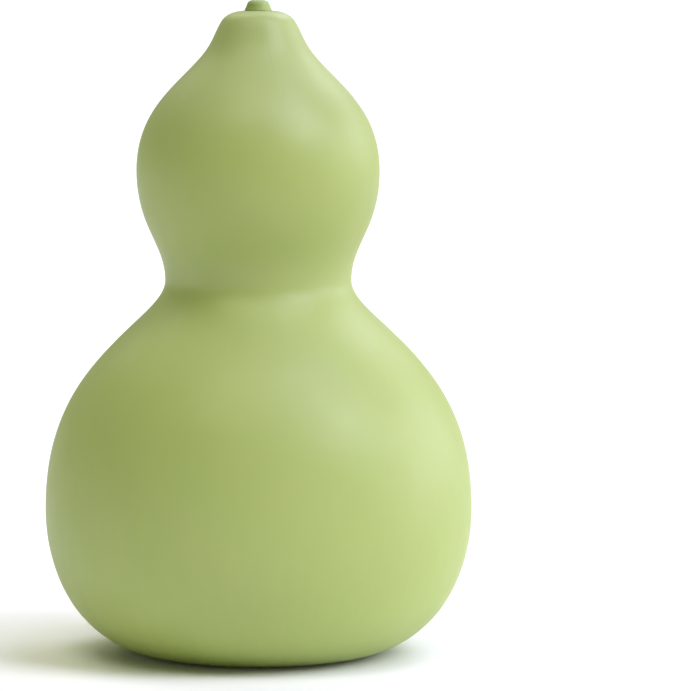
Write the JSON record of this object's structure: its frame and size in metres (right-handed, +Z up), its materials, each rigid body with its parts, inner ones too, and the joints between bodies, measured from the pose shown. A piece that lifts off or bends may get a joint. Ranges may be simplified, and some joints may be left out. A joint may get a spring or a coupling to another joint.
{
  "type": "bottle gourd",
  "caption": "Fresh green bottle gourd with a wide lower bulb, a waist, a small upper bulb and a level crown with a short stem stub, standing upright on its blossom end.",
  "frame": {"origin": "on the surface that the gourd stands on, under its axis, at the middle of the flat ring round the blossom end", "axes": "+Z up along the gourd's axis, from the blossom end to the stem; the gourd is round about Z, and -Y is the side that the picture shows"},
  "size_m": [0.17, 0.17, 0.26],
  "materials": {
    "skin": "matte",
    "stem": "matte"
  },
  "bodies": {
    "root": {"gourd": "skin", "stem": "stem"}
  },
  "joints": []
}
